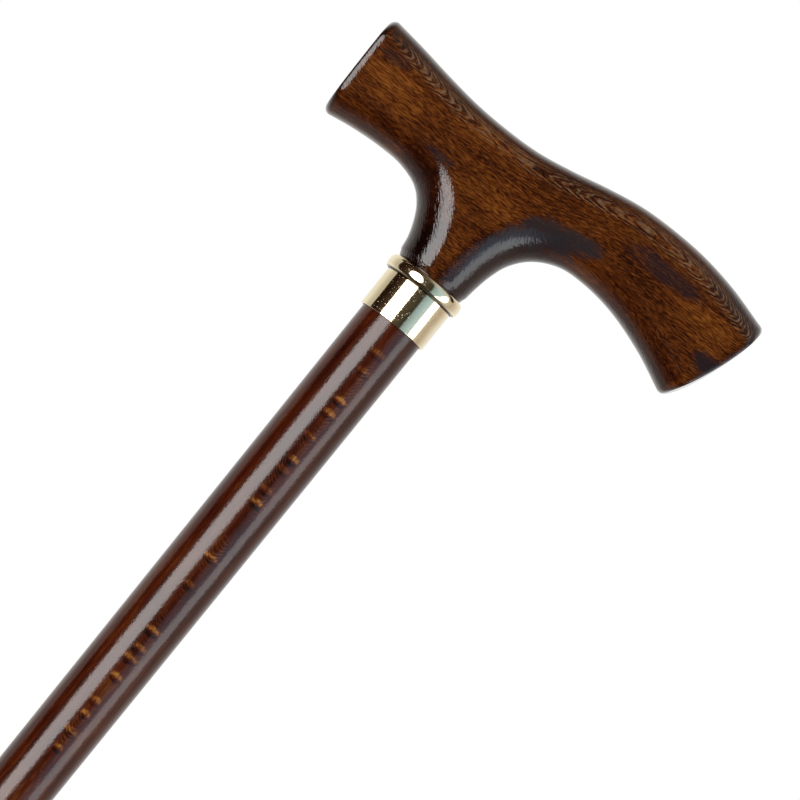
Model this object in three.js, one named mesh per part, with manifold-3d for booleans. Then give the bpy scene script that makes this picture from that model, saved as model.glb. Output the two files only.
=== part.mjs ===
// Walking stick: a stained wooden crutch handle, a polished brass collar with
// a rolled upper edge, a tapered wooden shaft and a rubber ferrule.
// Millimetres, +Z up along the shaft, +X toward the long palm arm of the
// handle, origin at the centre of the ferrule's tread.

import * as THREE from 'three';
import { mergeVertices } from 'three/addons/utils/BufferGeometryUtils.js';
import Module from 'manifold-3d';

const wasm = await Module();
wasm.setup();

// Clearance left between neighbouring pieces
const seatGap = 0.3;

// Shaft
const shaftLength = 841;
const shaftTopDiameter = 22;
const shaftTipDiameter = 18;
const shaftTipParallel = 42;
const shaftInCollar = 11.5;
const shaftEdgeChamfer = 0.6;

// Collar: a brass sleeve whose upper edge is rolled outward into a hollow curl
const collarWall = 0.75;
const collarSleeveLength = 14.2;
const curlHeight = 4.6;
const curlOverhang = 1.3;
const curlLipGap = 0.3;
const curlShoulder = 1.1;

// Handle: outline seen from the side, measured from the collar's lower edge
const handleThickness = 24.6;
const handleEndRound = 2.8;
const neckRoundHeight = 2.4;
const neckSeatInset = 0.05;
const spigotEdgeChamfer = 0.5;

// Each end face: upper corner, lower corner and how far its middle stands out
const noseEnd = { top: [-59.4, 74.8], bottom: [-58.9, 38.6], bulge: 0.3 };
const tailEnd = { top: [91.5, 70.6], bottom: [78.5, 35.6], bulge: 1.7 };

// Long edges, nose to tail: x, z and depth of the round-over at each point.
// The first and last depths are those at the end faces.
const topEdge = {
  startDepth: 7.6,
  points: [
    [-46.3, 73.4, 7.8], [-34.3, 71.6, 8], [-22.3, 70.25, 8], [-10.3, 69.95, 8],
    [1.7, 70.55, 8], [13.7, 72.6, 8], [25.7, 75.5, 8.2], [37.7, 77.7, 8.4],
    [49.7, 78.4, 8.4], [61.7, 77.8, 8.4], [74.7, 75.7, 8.2],
  ],
  endDepth: 8,
};

// The two edges below run down to the neck, and their x there is measured
// outward from the neck's side.
const noseUnderEdge = {
  startDepth: 10,
  arm: [[-48.3, 40.15, 10], [-38.3, 41.15, 10.2], [-29.3, 40.9, 10.8]],
  throat: [[-9.1, 38.4, 11.6], [-5, 34.4, 11.6], [-2.2, 29.2, 11.2], [-0.7, 25, 10.6]],
};
const tailUnderEdge = {
  endDepth: 10,
  throat: [[0.3, 25, 10], [1.3, 31, 10], [3.5, 37, 10.6], [8.5, 42.8, 11.6]],
  arm: [[29.2, 46.9, 11.8], [38.7, 47.6, 11.2], [50.2, 46.2, 10.6], [64.2, 41.9, 10]],
};
const neckSideDepth = 10.2;
const neckSideProud = 0.65;

// Joint screw: a steel double-ended wood screw across the joint
const screwDiameter = 8;
const screwThreadDepth = 1.1;
const screwThreadPitch = 3.5;
const screwLengthInShaft = 36;
const screwLengthInHandle = 36;
const screwPlainLength = 7;
const screwPointLength = 5;
const screwHoleSpare = 1;

// Ferrule
const ferruleHeight = 45;
const ferruleBaseDiameter = 36;
const ferruleWaistDiameter = 26;
const ferruleLipDiameter = 28;
const ferruleTreadThickness = 10;
const ferruleBaseHeight = 7;
const ferruleFlareHeight = 10;
const ferruleLipHeight = 3;
const ferruleEdgeRound = 1.5;
const ferruleRibCount = 3;
const ferruleRibPitch = 4;
const ferruleRibHeight = 0.9;
const treadPadDiameter = 10;
const treadGrooveCount = 3;
const treadGrooveWidth = 1.6;
const treadGroovePitch = 3.8;
const treadGrooveDepth = 1.5;

// Steel washer that keeps the shaft's tip from cutting through the rubber
const washerThickness = 1.5;
const washerHoleDiameter = 4;

// Fineness of the faceted surfaces
const roundSegments = 40;
const profileSteps = 10;
const topStations = 30;
const noseUnderStations = 22;
const tailUnderStations = 26;
const endRings = 4;
const screwSegments = 12;
const screwRingsPerTurn = 6;

// Sizes that follow from the ones above
const shaftTopRadius = shaftTopDiameter / 2;
const shaftTipRadius = shaftTipDiameter / 2;
const washerBase = ferruleTreadThickness + seatGap;
const shaftBase = washerBase + washerThickness + seatGap;
const shaftTop = shaftBase + shaftLength;
const collarBase = shaftTop - shaftInCollar;
const collarBore = shaftTopRadius + seatGap;
const collarRadius = collarBore + collarWall;
const collarTop = collarSleeveLength + curlHeight;
const neckBase = collarTop + seatGap;
const neckTop = neckBase + neckRoundHeight;
const neckSeatRadius = collarRadius - neckSeatInset;
const neckHalfWidth = collarRadius + neckSideProud;
const spigotBase = shaftInCollar + seatGap;
const spigotRadius = collarBore - seatGap;
const screwHoleRadius = screwDiameter / 2 + seatGap;
const jointPlane = shaftInCollar + seatGap / 2;
const halfThickness = handleThickness / 2;

const stainedHandle = new THREE.MeshStandardMaterial({ color: 0x5a2e12, roughness: 0.42 });
const stainedShaft = new THREE.MeshStandardMaterial({ color: 0x4a1c12, roughness: 0.3 });
const polishedBrass = new THREE.MeshStandardMaterial({
  color: 0xe4cd94,
  roughness: 0.15,
  metalness: 1,
});
const blackRubber = new THREE.MeshStandardMaterial({ color: 0x161616, roughness: 0.85 });
const brightSteel = new THREE.MeshStandardMaterial({
  color: 0xa9abae,
  roughness: 0.35,
  metalness: 1,
});

// Closed solids and cuts

function geometryOfTriangles(corners) {
  const geometry = new THREE.BufferGeometry();
  const positions = corners.flatMap((corner) => corner.toArray());
  geometry.setAttribute('position', new THREE.Float32BufferAttribute(positions, 3));
  return mergeVertices(geometry, 1e-4);
}

function lathe(profile, segments = roundSegments) {
  const points = profile.map(([radius, height]) => new THREE.Vector2(radius, height));
  const geometry = new THREE.LatheGeometry(points, segments);
  return geometry.rotateX(Math.PI / 2);
}

function solidOf(geometry) {
  const bare = geometry.clone();
  bare.deleteAttribute('normal');
  bare.deleteAttribute('uv');
  const merged = mergeVertices(bare, 1e-4);
  const kept = [];
  for (let i = 0; i < merged.index.count; i += 3) {
    const [a, b, c] = [0, 1, 2].map((step) => merged.index.getX(i + step));
    if (a !== b && b !== c && c !== a) kept.push(a, b, c);
  }
  return new wasm.Manifold(new wasm.Mesh({
    numProp: 3,
    vertProperties: new Float32Array(merged.attributes.position.array),
    triVerts: new Uint32Array(kept),
  }));
}

function geometryOf(solid) {
  const mesh = solid.getMesh();
  const geometry = new THREE.BufferGeometry();
  geometry.setAttribute('position', new THREE.BufferAttribute(mesh.vertProperties, 3));
  geometry.setIndex(new THREE.BufferAttribute(mesh.triVerts, 1));
  geometry.computeVertexNormals();
  return geometry;
}

function part(name, solid, material) {
  const mesh = new THREE.Mesh(geometryOf(solid), material);
  mesh.name = name;
  return mesh;
}

// Points of an ellipse's arc in the lathe plane, angles in degrees from +radius
function ellipseArc(radius, height, radial, vertical, from, to, steps) {
  return Array.from({ length: steps + 1 }, (_, i) => {
    const angle = THREE.MathUtils.degToRad(from + (to - from) * i / steps);
    return [radius + radial * Math.cos(angle), height + vertical * Math.sin(angle)];
  });
}

// A hole along the shaft's axis, closed by a shallow cone at its blind end
function blindHole(from, to) {
  const cone = screwHoleRadius * 0.6;
  const tip = to + Math.sign(to - from) * cone;
  const profile = [[0, from], [screwHoleRadius, from], [screwHoleRadius, to], [0, tip]];
  return solidOf(lathe(to > from ? profile : profile.reverse(), 24));
}

// Handle

// Corner of an end face, moved inward to where the rounding of its edge starts
function sectionCorners(end, inwardSign) {
  const top = new THREE.Vector2(...end.top);
  const bottom = new THREE.Vector2(...end.bottom);
  const along = top.clone().sub(bottom).normalize();
  const outward = new THREE.Vector2(along.y, -along.x).multiplyScalar(-inwardSign);
  const shift = outward.clone().multiplyScalar(-handleEndRound);
  return { top: top.add(shift), bottom: bottom.add(shift), along, outward, bulge: end.bulge };
}

// Stations along a long edge: place, direction into the wood, round-over depth
function edgeStations(points, woodSign, count, startInto, endInto) {
  const spine = points.map(([x, z, depth]) => new THREE.Vector3(x, depth, z));
  const curve = new THREE.CatmullRomCurve3(spine, false, 'centripetal');
  return Array.from({ length: count + 1 }, (_, i) => {
    const place = curve.getPointAt(i / count);
    const tangent = curve.getTangentAt(i / count);
    const into = new THREE.Vector2(-tangent.z, tangent.x).normalize().multiplyScalar(woodSign);
    if (i === 0) into.copy(startInto);
    if (i === count) into.copy(endInto);
    return { x: place.x, z: place.z, depth: place.y, into };
  });
}

// Half an ellipse across the thickness at a station, front to back, with the
// outward direction at each of its points
function roundOver(station) {
  return Array.from({ length: profileSteps + 1 }, (_, k) => {
    const angle = Math.PI * (k / profileSteps - 0.5);
    const inset = station.depth * (1 - Math.cos(angle));
    const point = new THREE.Vector3(
      station.x + station.into.x * inset,
      halfThickness * Math.sin(angle),
      station.z + station.into.y * inset,
    );
    const normal = new THREE.Vector3(
      -station.into.x * Math.cos(angle) / station.depth,
      Math.sin(angle) / halfThickness,
      -station.into.y * Math.cos(angle) / station.depth,
    ).normalize();
    return { point, normal };
  });
}

// Ring round a flat section: one round-over, the back side, the other
// round-over in reverse, and the front side
function sectionRing(first, second, sideSteps) {
  const side = (from, to) => Array.from({ length: sideSteps - 1 }, (_, i) => ({
    point: from.point.clone().lerp(to.point, (i + 1) / sideSteps),
    normal: from.normal.clone(),
  }));
  const back = side(first.at(-1), second.at(-1));
  const front = side(second[0], first[0]);
  return [...first, ...back, ...second.toReversed(), ...front];
}

function handleBody() {
  const corners = [];
  const triangle = (a, b, c) => corners.push(a, b, c);
  const quad = (a, b, c, d) => {
    triangle(a, b, c);
    triangle(a, c, d);
  };
  const strip = (lower, upper) => {
    for (let i = 0; i + 1 < lower.length; i += 1) {
      quad(lower[i], lower[i + 1], upper[i + 1], upper[i]);
    }
  };

  const nose = sectionCorners(noseEnd, 1);
  const tail = sectionCorners(tailEnd, -1);
  const up = new THREE.Vector2(0, 1);
  const left = new THREE.Vector2(-1, 0);
  const right = new THREE.Vector2(1, 0);

  const top = edgeStations(
    [
      [nose.top.x, nose.top.y, topEdge.startDepth],
      ...topEdge.points,
      [tail.top.x, tail.top.y, topEdge.endDepth],
    ],
    -1, topStations, nose.along.clone().negate(), tail.along.clone().negate(),
  );
  const noseUnder = edgeStations(
    [
      [nose.bottom.x, nose.bottom.y, noseUnderEdge.startDepth],
      ...noseUnderEdge.arm,
      ...noseUnderEdge.throat.map(([out, z, depth]) => [out - neckHalfWidth, z, depth]),
      [-neckHalfWidth, neckTop, neckSideDepth],
    ],
    1, noseUnderStations, nose.along, right,
  );
  const tailUnder = edgeStations(
    [
      [neckHalfWidth, neckTop, neckSideDepth],
      ...tailUnderEdge.throat.map(([out, z, depth]) => [neckHalfWidth + out, z, depth]),
      ...tailUnderEdge.arm,
      [tail.bottom.x, tail.bottom.y, tailUnderEdge.endDepth],
    ],
    1, tailUnderStations, left, tail.along,
  );

  // Round-overs along the three long edges
  const rounds = [top, noseUnder, tailUnder].map((stations) => stations.map(roundOver));
  const [topRounds, noseRounds, tailRounds] = rounds;
  rounds.forEach((edge, index) => {
    for (let i = 0; i + 1 < edge.length; i += 1) {
      const here = edge[i].map(({ point }) => point);
      const next = edge[i + 1].map(({ point }) => point);
      if (index === 0) strip(next, here);
      else strip(here, next);
    }
  });

  // Rings round the two end faces and round the foot of the neck
  const sideSteps = 4;
  const noseRing = sectionRing(topRounds[0], noseRounds[0], sideSteps);
  const tailRing = sectionRing(topRounds.at(-1), tailRounds.at(-1), sideSteps);
  const neckRing = sectionRing(noseRounds.at(-1), tailRounds[0], sideSteps);

  // Flat sides, front and back
  const frontSide = (ring) => ring.slice(-(sideSteps - 1)).map(({ point }) => point);
  const frontEdge = (edge) => edge.map((round) => round[0].point);
  const outline = [
    ...frontEdge(topRounds),
    ...frontSide(tailRing).toReversed(),
    ...frontEdge(tailRounds).toReversed(),
    ...frontSide(neckRing),
    ...frontEdge(noseRounds).toReversed(),
    ...frontSide(noseRing),
  ];
  const flat = outline.map(({ x, z }) => new THREE.Vector2(x, z)).toReversed();
  const front = outline.toReversed();
  const back = front.map(({ x, y, z }) => new THREE.Vector3(x, -y, z));
  for (const [a, b, c] of THREE.ShapeUtils.triangulateShape(flat, [])) {
    triangle(front[a], front[b], front[c]);
    triangle(back[a], back[c], back[b]);
  }

  // Rounded edge and slightly crowned face at each end of the handle
  const capEnd = (ring, end, flip) => {
    const middle = end.top.clone().add(end.bottom).multiplyScalar(0.5);
    const half = end.top.distanceTo(end.bottom) / 2;
    const ringAt = (turn) => ring.map(({ point, normal }) => {
      const height = new THREE.Vector2(point.x, point.z).sub(middle).dot(end.along) / half;
      const rise = handleEndRound + end.bulge * (1 - height * height);
      const moved = point.clone().addScaledVector(normal, handleEndRound * (Math.cos(turn) - 1));
      moved.x += end.outward.x * rise * Math.sin(turn);
      moved.z += end.outward.y * rise * Math.sin(turn);
      return moved;
    });
    let last = ringAt(0);
    for (let j = 1; j <= endRings; j += 1) {
      const next = ringAt(Math.PI / 2 * j / endRings);
      for (let i = 0; i < ring.length; i += 1) {
        const after = (i + 1) % ring.length;
        if (flip) quad(last[after], last[i], next[i], next[after]);
        else quad(last[i], last[after], next[after], next[i]);
      }
      last = next;
    }
    closeFace(last, flip);
  };

  // Bands across the face between the mirrored front and back points of a ring
  const closeFace = (ring, flip) => {
    const middle = profileSteps / 2;
    const across = ring.length;
    const pair = (i) => [ring[(middle - i + across) % across], ring[(middle + i) % across]];
    for (let i = 0; i < across / 2; i += 1) {
      const [frontHere, backHere] = pair(i);
      const [frontNext, backNext] = pair(i + 1);
      const band = [frontHere, frontNext, backNext, backHere];
      if (!flip) band.reverse();
      quad(band[0], band[1], band[2], band[3]);
    }
  };
  capEnd(noseRing, nose, false);
  capEnd(tailRing, tail, true);

  // The foot of the neck draws in from the flattened oval to the round seat
  const footAt = (turn) => neckRing.map(({ point }) => {
    const flatPoint = new THREE.Vector2(point.x, point.y);
    const seat = flatPoint.clone().setLength(neckSeatRadius);
    flatPoint.lerp(seat, 1 - Math.cos(turn));
    return new THREE.Vector3(flatPoint.x, flatPoint.y, neckTop - neckRoundHeight * Math.sin(turn));
  });
  let last = footAt(0);
  for (let j = 1; j <= endRings; j += 1) {
    const next = footAt(Math.PI / 2 * j / endRings);
    for (let i = 0; i < neckRing.length; i += 1) {
      const after = (i + 1) % neckRing.length;
      quad(last[i], last[after], next[after], next[i]);
    }
    last = next;
  }
  const centre = new THREE.Vector3(0, 0, neckBase);
  for (let i = 0; i < last.length; i += 1) {
    triangle(last[i], last[(i + 1) % last.length], centre);
  }
  return geometryOfTriangles(corners);
}

function makeHandle() {
  const overlap = 2;
  const spigot = lathe([
    [0, spigotBase],
    [spigotRadius - spigotEdgeChamfer, spigotBase],
    [spigotRadius, spigotBase + spigotEdgeChamfer],
    [spigotRadius, neckBase + overlap],
    [0, neckBase + overlap],
  ]);
  const hole = blindHole(spigotBase - overlap, jointPlane + screwLengthInHandle + screwHoleSpare);
  const solid = solidOf(handleBody()).add(solidOf(spigot)).subtract(hole);
  return part('handle', solid, stainedHandle);
}

// Collar

function makeCollar() {
  const lipRadius = collarRadius + curlLipGap;
  const curlMiddle = collarSleeveLength + curlHeight / 2;
  const half = curlHeight / 2;
  const topRun = lipRadius - collarBore;
  const profile = [
    [collarBore, 0],
    [collarRadius, 0],
    [collarRadius, collarTop - collarWall * 1.4],
    ...ellipseArc(lipRadius, curlMiddle, curlOverhang - collarWall, half - collarWall, 90, -90, 6),
    ...ellipseArc(lipRadius, curlMiddle, curlOverhang, half, -90, 90, 10),
    ...ellipseArc(lipRadius, collarTop - curlShoulder, topRun, curlShoulder, 90, 180, 4).slice(1),
    [collarBore, 0],
  ];
  return part('collar', solidOf(lathe(profile)), polishedBrass);
}

// Shaft

function makeShaft() {
  const topSpread = shaftTopRadius - shaftEdgeChamfer;
  const profile = [
    [0, shaftBase],
    [shaftTipRadius - shaftEdgeChamfer, shaftBase],
    [shaftTipRadius, shaftBase + shaftEdgeChamfer],
    [shaftTipRadius, shaftBase + shaftTipParallel],
    [shaftTopRadius, collarBase],
    [shaftTopRadius, shaftTop - shaftEdgeChamfer],
    [topSpread, shaftTop],
    [0, shaftTop],
  ];
  const overlap = 2;
  const holeEnd = collarBase + jointPlane - screwLengthInShaft - screwHoleSpare;
  const hole = blindHole(shaftTop + overlap, holeEnd);
  return part('shaft', solidOf(lathe(profile)).subtract(hole), stainedShaft);
}

// Joint screw

// Radius of the screw at a height from the joint plane and an angle round it
function screwRadius(height, angle) {
  const major = screwDiameter / 2;
  const minor = major - screwThreadDepth;
  const length = height > 0 ? screwLengthInHandle : screwLengthInShaft;
  const fromPoint = length - Math.abs(height);
  const point = Math.min(1, fromPoint / screwPointLength);
  if (Math.abs(height) < screwPlainLength / 2) return minor;
  const turns = height / screwThreadPitch - angle / (2 * Math.PI);
  const phase = turns - Math.floor(turns);
  const ridge = Math.max(0, 1 - Math.abs(phase - 0.5) * 4);
  return (minor + screwThreadDepth * ridge) * point;
}

function makeJointScrew() {
  const step = screwThreadPitch / screwRingsPerTurn;
  const tipStep = 0.4;
  const from = -screwLengthInShaft + tipStep;
  const to = screwLengthInHandle - tipStep;
  const count = Math.round((to - from) / step);
  const rings = Array.from({ length: count + 1 }, (_, i) => {
    const height = from + (to - from) * i / count;
    return Array.from({ length: screwSegments }, (_unused, k) => {
      const angle = 2 * Math.PI * k / screwSegments;
      const radius = screwRadius(height, angle);
      return new THREE.Vector3(radius * Math.cos(angle), radius * Math.sin(angle), height);
    });
  });
  const lowTip = new THREE.Vector3(0, 0, -screwLengthInShaft);
  const highTip = new THREE.Vector3(0, 0, screwLengthInHandle);
  const corners = [];
  for (let k = 0; k < screwSegments; k += 1) {
    const after = (k + 1) % screwSegments;
    corners.push(lowTip, rings[0][after], rings[0][k]);
    corners.push(highTip, rings[count][k], rings[count][after]);
    for (let i = 0; i < count; i += 1) {
      corners.push(rings[i][k], rings[i][after], rings[i + 1][after]);
      corners.push(rings[i][k], rings[i + 1][after], rings[i + 1][k]);
    }
  }
  const screw = part('joint_screw', solidOf(geometryOfTriangles(corners)), brightSteel);
  screw.position.z = jointPlane;
  return screw;
}

// Ferrule and its washer

function makeFerrule() {
  const bore = shaftTipRadius + seatGap;
  const base = ferruleBaseDiameter / 2;
  const waist = ferruleWaistDiameter / 2;
  const lip = ferruleLipDiameter / 2;
  const edge = ferruleEdgeRound;
  const flareTop = ferruleBaseHeight + ferruleFlareHeight;
  const lipBase = ferruleHeight - ferruleLipHeight;
  const ribBase = (flareTop + lipBase) / 2 - (ferruleRibCount - 1) / 2 * ferruleRibPitch;
  const grooves = Array.from({ length: treadGrooveCount }, (_, i) => {
    const inner = treadPadDiameter / 2 + i * treadGroovePitch;
    const outer = inner + treadGrooveWidth;
    return [[inner, 0], [inner, treadGrooveDepth], [outer, treadGrooveDepth], [outer, 0]];
  }).flat();
  const ribs = Array.from({ length: ferruleRibCount }, (_, i) => {
    const middle = ribBase + i * ferruleRibPitch;
    return ellipseArc(waist, middle, ferruleRibHeight, ferruleRibHeight, -90, 90, 4);
  }).flat();
  const profile = [
    [0, 0],
    ...grooves,
    ...ellipseArc(base - edge, edge, edge, edge, -90, 0, 3),
    [base, ferruleBaseHeight],
    ...ellipseArc(base, flareTop, waist - base, -ferruleFlareHeight, 60, 10, 5),
    [waist, flareTop],
    ...ribs,
    [waist, lipBase],
    [lip, lipBase + ferruleLipHeight / 3],
    [lip, ferruleHeight - edge / 2],
    [lip - edge / 2, ferruleHeight],
    [bore, ferruleHeight],
    [bore, ferruleTreadThickness],
    [0, ferruleTreadThickness],
  ];
  return part('ferrule', solidOf(lathe(profile)), blackRubber);
}

function makeWasher() {
  const outer = shaftTipRadius;
  const inner = washerHoleDiameter / 2;
  const top = washerBase + washerThickness;
  const profile = [
    [inner, washerBase],
    [outer, washerBase],
    [outer, top],
    [inner, top],
    [inner, washerBase],
  ];
  return part('ferrule_washer', solidOf(lathe(profile, 32)), brightSteel);
}

// The upper pieces stand on the collar's lower edge
const head = new THREE.Group();
head.position.z = collarBase;
head.add(makeHandle(), makeCollar(), makeJointScrew());

const walkingStick = new THREE.Group();
walkingStick.add(head, makeShaft(), makeFerrule(), makeWasher());

export default walkingStick;
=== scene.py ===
# Walking stick: fine surfaces, finishes, lights and camera around the fixed frame.
# Sizes are millimetres, turned into metres where a mesh is made. +Z runs up the
# shaft, +X toward the long palm arm, and -Y faces the camera.
import math

import bmesh
import bpy
import numpy as np
from mathutils import Matrix, Quaternion, Vector
from mathutils.geometry import delaunay_2d_cdt


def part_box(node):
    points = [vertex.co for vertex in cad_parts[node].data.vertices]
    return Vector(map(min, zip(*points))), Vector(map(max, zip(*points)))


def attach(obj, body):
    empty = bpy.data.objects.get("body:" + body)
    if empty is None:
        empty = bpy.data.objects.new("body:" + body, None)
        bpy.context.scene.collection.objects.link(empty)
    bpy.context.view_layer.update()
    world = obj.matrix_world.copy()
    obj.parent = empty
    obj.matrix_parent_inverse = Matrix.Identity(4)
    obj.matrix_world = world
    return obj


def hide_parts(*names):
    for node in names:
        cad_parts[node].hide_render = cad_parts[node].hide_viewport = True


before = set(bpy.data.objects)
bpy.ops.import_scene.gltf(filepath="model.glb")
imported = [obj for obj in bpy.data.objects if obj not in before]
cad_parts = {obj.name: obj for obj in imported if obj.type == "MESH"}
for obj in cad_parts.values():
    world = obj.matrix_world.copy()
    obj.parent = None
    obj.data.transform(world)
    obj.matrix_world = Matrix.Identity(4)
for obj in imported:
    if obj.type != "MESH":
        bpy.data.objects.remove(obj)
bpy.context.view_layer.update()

MM = 0.001

# Places taken from the frame
collar_low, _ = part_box("collar")
shaft_low, shaft_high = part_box("shaft")
_, ferrule_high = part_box("ferrule")
_, washer_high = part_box("ferrule_washer")
HEAD_BASE = collar_low.z / MM
SHAFT_BASE = shaft_low.z / MM
SHAFT_TOP = shaft_high.z / MM
SHAFT_RADIUS = shaft_high.x / MM
TIP_RADIUS = washer_high.x / MM
FERRULE_HEIGHT = ferrule_high.z / MM
FERRULE_RADIUS = ferrule_high.x / MM

# Clearance between neighbouring pieces
SEAT_GAP = 0.3

# Collar, measured from its lower edge
COLLAR_WALL = 0.75
SLEEVE_LENGTH = 13.85
CURL_HEIGHT = 4.65
CURL_WIDEST = 2.1
CURL_FULLNESS = 0.88
CURL_OVERHANG = 1.3
CURL_LIP_GAP = 0.3
CURL_SHOULDER = 1.1
CURL_ROOT_WALL = 1.4 * COLLAR_WALL
COLLAR_EDGE_ROUND = 0.22
COLLAR_BORE = SHAFT_RADIUS + SEAT_GAP
COLLAR_RADIUS = COLLAR_BORE + COLLAR_WALL
COLLAR_TOP = SLEEVE_LENGTH + CURL_HEIGHT

# Handle, measured from the collar's lower edge
HALF_THICKNESS = 12.3
END_ROUND = 2.4
END_INSET_SIDE = 0.9
END_INSET_EDGE = 2.6
NECK_BASE = COLLAR_TOP + SEAT_GAP
NECK_ROUND_HEIGHT = 2.2
NECK_ROUND_BLUNTNESS = 0.4
NECK_TOP = NECK_BASE + NECK_ROUND_HEIGHT
NECK_SEAT_RADIUS = COLLAR_RADIUS - 0.35
NECK_LEFT = -COLLAR_RADIUS - 0.85
NECK_RIGHT = COLLAR_RADIUS + 0.55
NECK_SIDE_DEPTHS = (11.6, 13)
SPIGOT_BASE = SHAFT_TOP - HEAD_BASE + SEAT_GAP
SPIGOT_RADIUS = COLLAR_BORE - SEAT_GAP
SPIGOT_CHAMFER = 0.5
SCREW_HOLE_RADIUS = 4.3
SCREW_HOLE_DEPTH = 37
SCREW_HOLE_CONE = 0.6 * SCREW_HOLE_RADIUS
JOINT_PLANE = SPIGOT_BASE - SEAT_GAP / 2

# Length over which a long edge turns in to meet an end face or the neck's foot
TURN_IN = 5

# End faces: upper corner, lower corner, how far the middle stands out, and side
NOSE_END = {"top": (-59.3, 74.8), "bottom": (-58.8, 39.0), "bulge": 0.2, "side": -1}
TAIL_END = {"top": (91.4, 71.15), "bottom": (78.75, 35.6), "bulge": 1.8, "side": 1}

# Long edges, nose to tail: x, z and depth of the round-over
TOP_DEPTHS = (7.6, 8)
TOP_POINTS = [
    (-46.3, 73.55, 7.8), (-34.3, 71.8, 8), (-22.3, 70.45, 8), (-10.3, 70.1, 8),
    (1.7, 70.7, 8), (13.7, 72.85, 8), (25.7, 75.65, 8.2), (37.7, 77.8, 8.4),
    (49.7, 78.37, 8.4), (61.7, 77.9, 8.4), (74.7, 75.85, 8.2),
]
UNDER_DEPTH = 10
NOSE_ARM = [(-48.3, 40.35, 10), (-38.3, 41.2, 10.2), (-29.3, 40.9, 11)]
TAIL_ARM = [(29.2, 46.9, 12.8), (38.7, 47.6, 11.8), (50.2, 46.2, 10.6), (64.2, 41.9, 10)]

# Throats: x outward from the neck's side, z and depth
NOSE_THROAT = [(-8.9, 38.4, 11.8), (-4.8, 34.4, 12.3), (-2.05, 29.2, 12.1), (-0.65, 25, 11.8)]
TAIL_THROAT = [(0.5, 25, 13.5), (1.65, 31, 14.1), (3.85, 37, 14.7), (8.6, 42.8, 14.9)]

# Shaft
SHAFT_CHAMFER = 0.6
TIP_PARALLEL = 42

# Ferrule
WAIST_RADIUS = 13
LIP_RADIUS = 14
TREAD_THICKNESS = 10
BASE_HEIGHT = 7
FLARE_HEIGHT = 10
FLARE_ANGLES = (60, 10)
LIP_HEIGHT = 3
LIP_BEVEL = 1
FERRULE_ROUND = 1.5
LIP_ROUND = FERRULE_ROUND / 2
RIB_COUNT = 3
RIB_PITCH = 4
RIB_HEIGHT = 0.9
PAD_RADIUS = 5
GROOVE_COUNT = 3
GROOVE_WIDTH = 1.6
GROOVE_PITCH = 3.8
GROOVE_DEPTH = 1.5

# Fineness of the surfaces
ROUND_SEGMENTS = 192
STATION_STEP = 0.7
ROUND_OVER_STEPS = 40
SIDE_STEPS = 14
END_STEPS = 10
FACE_STEPS = 16
FLAT_STEP = 2.5
CURVE_STEPS = 80
SHAFT_ROW_STEP = 20
COLLAR_EDGE_STEPS = 4
CURL_HOLLOW_STEPS = 8
CURL_STEPS = 20
CURL_SHOULDER_STEPS = 12
FERRULE_EDGE_STEPS = 10
FLARE_STEPS = 24
RIB_STEPS = 14
LIP_STEPS = 8
MERGE_DISTANCE = 1e-6
SHARP_ANGLE = math.radians(38)

# How the flat sides are filled: only inside their outline, and the tolerance
FILL_INSIDE = 1
FILL_TOLERANCE = 1e-5


def at_head(x, y, z):
    """A place on the handle, measured from the collar's lower edge."""
    return (x, y, HEAD_BASE + z)


# Meshes

def grid_faces(mesh, points):
    """Adds a grid of points, row by row, as quads."""
    rows = [[mesh.verts.new(Vector(point) * MM) for point in row] for row in points]
    for lower, upper in zip(rows, rows[1:]):
        for i in range(len(lower) - 1):
            mesh.faces.new((lower[i], lower[i + 1], upper[i + 1], upper[i]))


def make_piece(name, mesh, body, material, replaced):
    """Closes a mesh into one body and puts it in the scene as a piece."""
    bmesh.ops.remove_doubles(mesh, verts=mesh.verts, dist=MERGE_DISTANCE)
    bmesh.ops.recalc_face_normals(mesh, faces=mesh.faces)
    data = bpy.data.meshes.new(name)
    mesh.to_mesh(data)
    mesh.free()
    data.shade_smooth()
    data.set_sharp_from_angle(angle=SHARP_ANGLE)
    data.materials.append(material)
    piece = bpy.data.objects.new(name, data)
    bpy.context.scene.collection.objects.link(piece)
    normals = piece.modifiers.new("even_normals", "WEIGHTED_NORMAL")
    normals.keep_sharp = True
    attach(piece, body)
    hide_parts(replaced)


def lathe(profile, base=0.0):
    """A closed mesh turned round the shaft's axis from (radius, height) points."""
    mesh = bmesh.new()
    angles = np.linspace(0, 2 * math.pi, ROUND_SEGMENTS + 1)
    rings = [
        [(radius * math.cos(a), radius * math.sin(a), base + height) for a in angles]
        for radius, height in profile
    ]
    grid_faces(mesh, rings)
    return mesh


def arc(radius, height, radial, vertical, start, end, steps, fullness=1.0):
    """Points of an ellipse's arc in the lathe's plane, squarer where fullness is below 1."""
    angles = np.radians(np.linspace(start, end, steps + 1))

    def full(value):
        return math.copysign(abs(value) ** fullness, value)

    return [
        (radius + radial * full(math.cos(a)), height + vertical * full(math.sin(a)))
        for a in angles
    ]


def spread(start, end, step):
    """Points from start toward end, about a step apart, without the end."""
    start, end = np.array(start, float), np.array(end, float)
    count = max(1, round(np.linalg.norm(end - start) / step))
    return [tuple(start + (end - start) * i / count) for i in range(count)]


# Handle

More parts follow.
